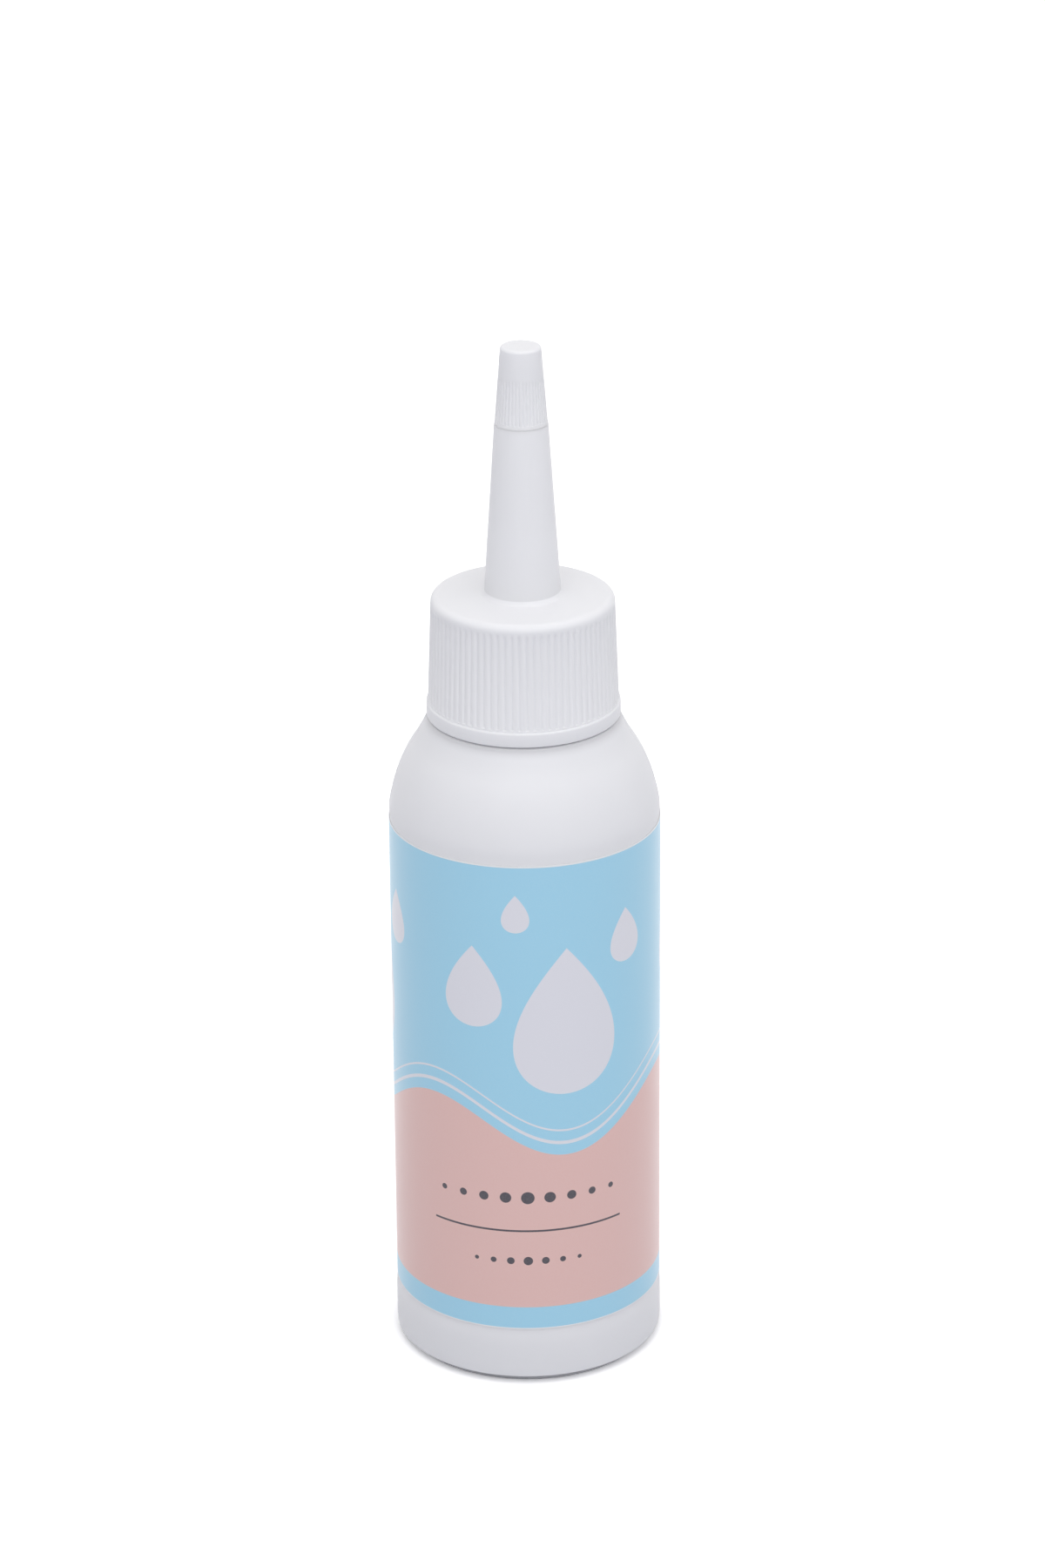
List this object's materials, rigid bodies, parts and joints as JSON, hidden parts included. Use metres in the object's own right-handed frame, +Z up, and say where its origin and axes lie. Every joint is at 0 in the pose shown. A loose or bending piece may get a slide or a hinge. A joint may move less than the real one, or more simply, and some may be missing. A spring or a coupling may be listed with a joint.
{
  "type": "squeeze bottle with nozzle cap",
  "caption": "Round white squeeze bottle with a wrap label, a ribbed screw cap that tapers into a long nozzle, and a small ribbed tip cap that pulls off.",
  "frame": {"origin": "centre of the foot, on the surface that the bottle stands on", "axes": "+Z up along the bottle's axis, -Y towards the middle of the label, +X to the right seen from the label's side"},
  "size_m": [0.0402, 0.0402, 0.1569],
  "materials": {
    "bottle_plastic": "white polyethylene, soft satin",
    "label_film": "pale blue printed film, satin",
    "washer_foam": "white closed-cell foam",
    "cap_plastic": "white polypropylene, satin",
    "tip_plastic": "white polypropylene, satin"
  },
  "bodies": {
    "bottle": {"bottle": "bottle_plastic", "label": "label_film"},
    "washer": {"sealing_washer": "washer_foam"},
    "nozzle_cap": {"nozzle_cap": "cap_plastic"},
    "tip_cap": {"tip_cap": "tip_plastic"}
  },
  "joints": [
    {"name": "cap_rise", "type": "slide", "parent": "bottle", "child": "washer", "axis": [0, 0, 1], "range_m": [0, 0.0175]},
    {"name": "cap_turn", "type": "hinge", "parent": "washer", "child": "nozzle_cap", "pos_m": [0, 0, 0.1009], "axis": [0, 0, 1], "range_deg": [0, 1980]},
    {"name": "tip_cap_pull", "type": "slide", "parent": "nozzle_cap", "child": "tip_cap", "axis": [0, 0, 1], "range_m": [0, 0.012]}
  ],
  "couplings": [
    {"joint": "cap_rise", "follows": "cap_turn", "m_per_rad": 0.00050532}
  ]
}
